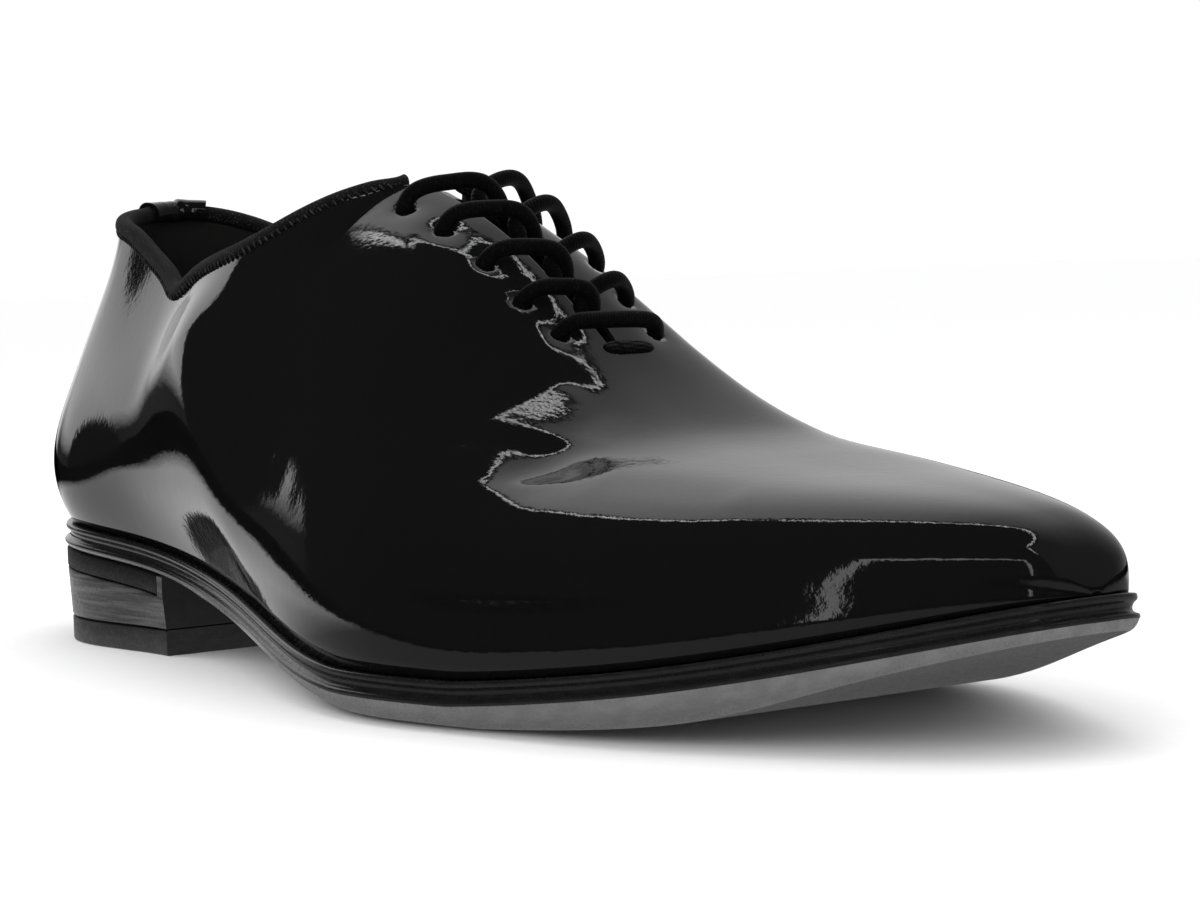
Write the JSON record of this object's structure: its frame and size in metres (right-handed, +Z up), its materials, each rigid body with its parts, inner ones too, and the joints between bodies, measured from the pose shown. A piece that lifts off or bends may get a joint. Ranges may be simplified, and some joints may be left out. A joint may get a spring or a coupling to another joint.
{
  "type": "oxford dress shoe",
  "caption": "Right-foot patent wholecut oxford with a thin leather sole, low stacked heel, bound collar, heel tab and criss-cross round laces.",
  "frame": {"origin": "centre of the bounding box on the floor the shoe stands on", "axes": "+X from heel to toe, +Y towards the inner (big toe) side, +Z up"},
  "size_m": [0.3084, 0.1158, 0.1029],
  "materials": {
    "patent": "black patent, mirror gloss",
    "sole": "black waxed edge, satin",
    "rand": "matt black",
    "stack": "black stacked leather with fine grey lines, satin",
    "top_piece": "black rubber, matt",
    "lining": "smooth black lining leather",
    "binding": "matt black ribbed textile",
    "lace": "round woven black cord"
  },
  "bodies": {
    "root": {"outsole": "sole", "heel_rand": "rand", "heel_stack": "stack", "heel_top_piece": "top_piece", "insole": "lining", "upper": "patent", "collar_binding": "binding", "heel_tab": "patent", "tongue": "patent", "lace_row_1": "lace", "lace_row_2": "lace", "lace_row_3": "lace", "lace_row_4": "lace", "lace_bar": "lace", "throat_bar_tack": "binding"}
  },
  "joints": []
}
